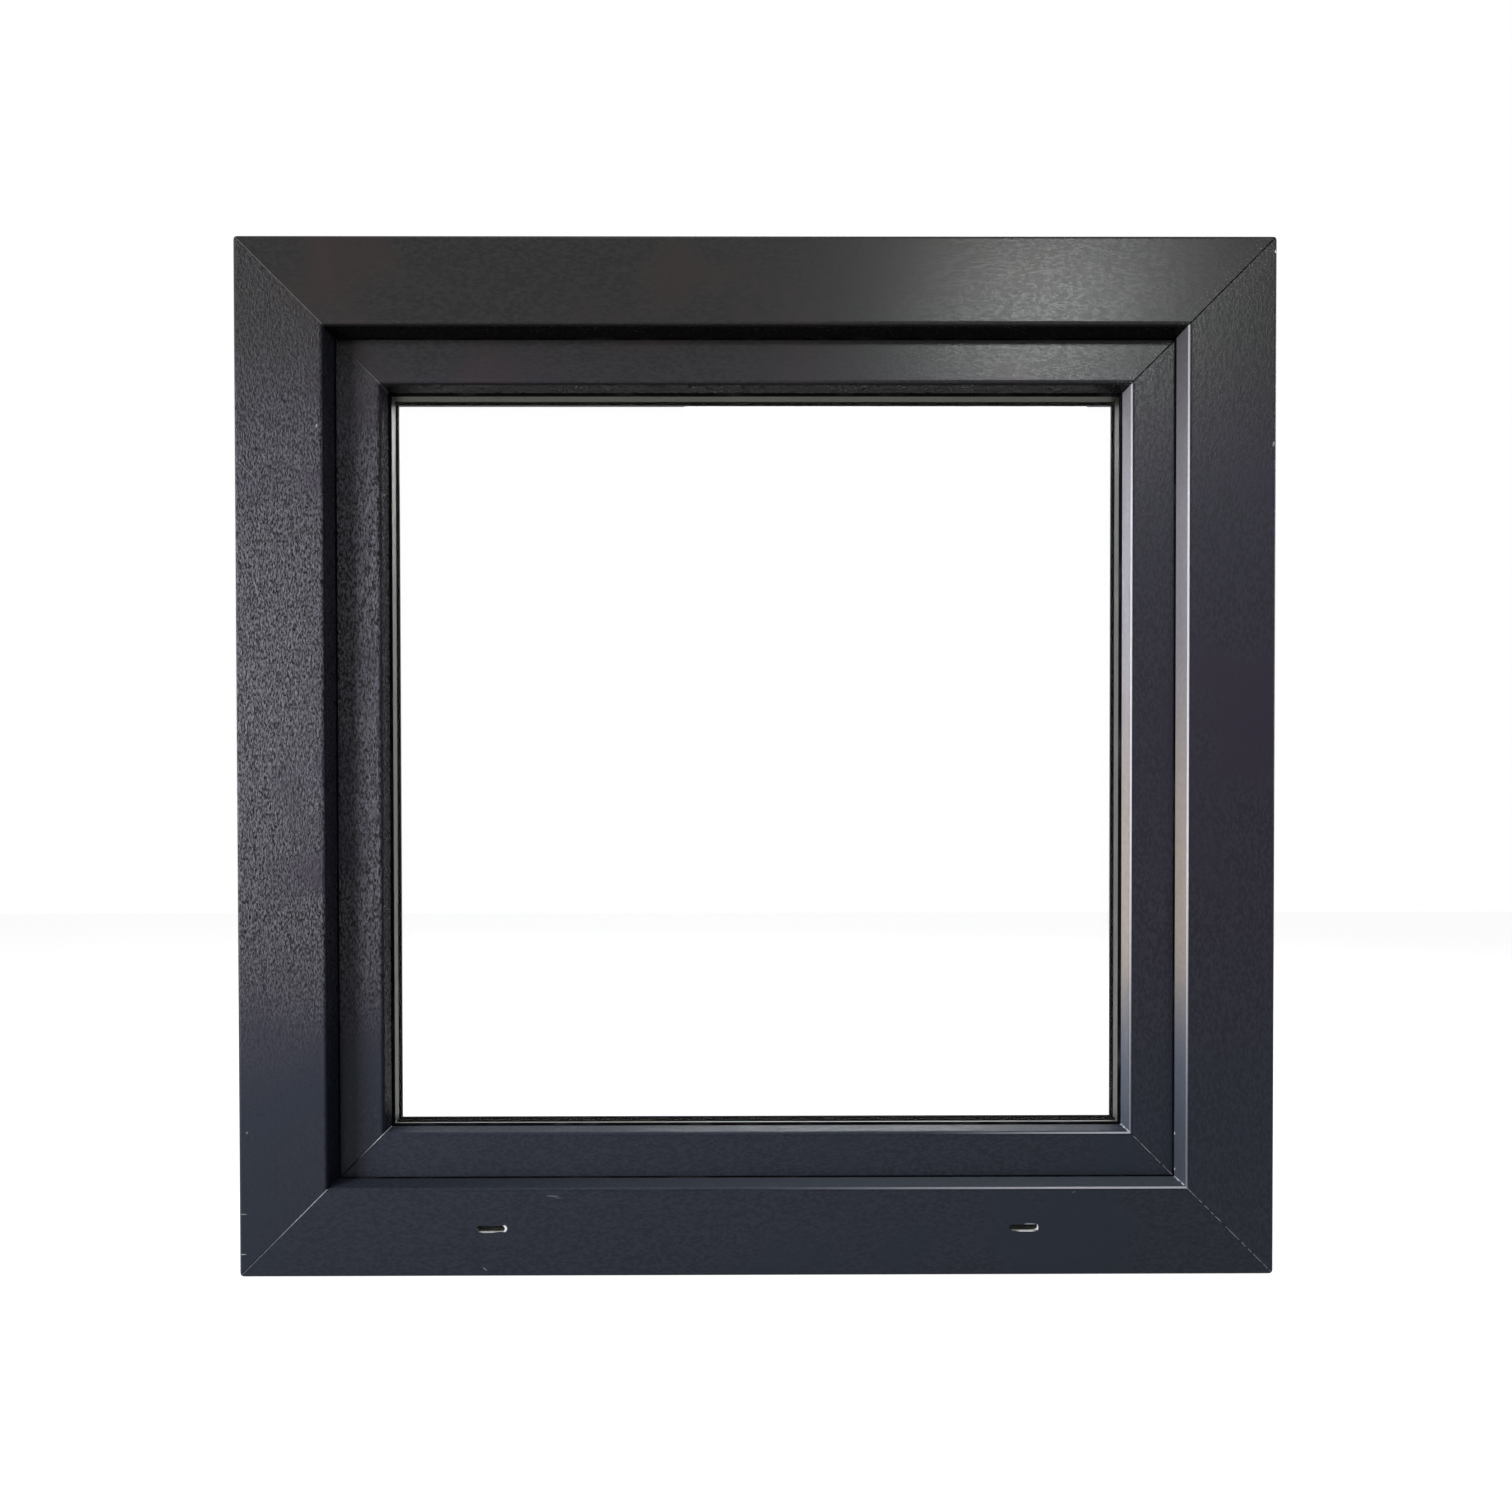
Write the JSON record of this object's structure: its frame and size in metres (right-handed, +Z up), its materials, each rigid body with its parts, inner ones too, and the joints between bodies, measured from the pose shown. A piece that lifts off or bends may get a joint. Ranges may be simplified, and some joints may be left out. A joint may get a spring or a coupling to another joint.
{
  "type": "tilt and turn window",
  "caption": "Square plastic window: mitred hollow outer frame, inward tilt and turn sash, sealed double glazing, room side lever handle and two covered hinges.",
  "frame": {"origin": "on the underside of the outer frame, at the middle of its length and of its depth", "axes": "+X along the sill, to the right as seen from outdoors; +Y from outdoors into the room; +Z up"},
  "size_m": [0.8, 0.1376, 0.8],
  "materials": {
    "profile": "anthracite foil with a fine embossed wood grain on white plastic",
    "seal": "matt black",
    "glass": "clear float glass",
    "spacer": "mill finish, dulled",
    "edge_seal": "matt black sealant",
    "packer": "moulded",
    "handle": "satin powder coat",
    "fitting": "zinc plated",
    "fitting_cap": "smooth moulded"
  },
  "bodies": {
    "root": {"bottom_hinge_band": "fitting", "bottom_hinge_band_cap": "fitting_cap", "bottom_hinge_bearing": "fitting", "bottom_hinge_bearing_cap": "fitting_cap", "bottom_hinge_pin": "fitting", "edge_seal": "edge_seal", "frame_head": "profile", "frame_jamb_left": "profile", "frame_jamb_right": "profile", "frame_sill": "profile", "frame_stop_seal": "seal", "glazing_bead_bottom": "profile", "glazing_bead_left": "profile", "glazing_bead_right": "profile", "glazing_bead_top": "profile", "glazing_packers": "packer", "glazing_seal_inside": "seal", "glazing_seal_outside": "seal", "handle_lever": "handle", "handle_rosette": "handle", "pane_inside": "glass", "pane_outside": "glass", "sash_bottom_rail": "profile", "sash_overlap_seal": "seal", "sash_stile_left": "profile", "sash_stile_right": "profile", "sash_top_rail": "profile", "spacer_bar": "spacer", "top_hinge_band": "fitting", "top_hinge_band_cap": "fitting_cap", "top_hinge_bearing": "fitting", "top_hinge_bearing_cap": "fitting_cap", "top_hinge_pin": "fitting"}
  },
  "joints": []
}
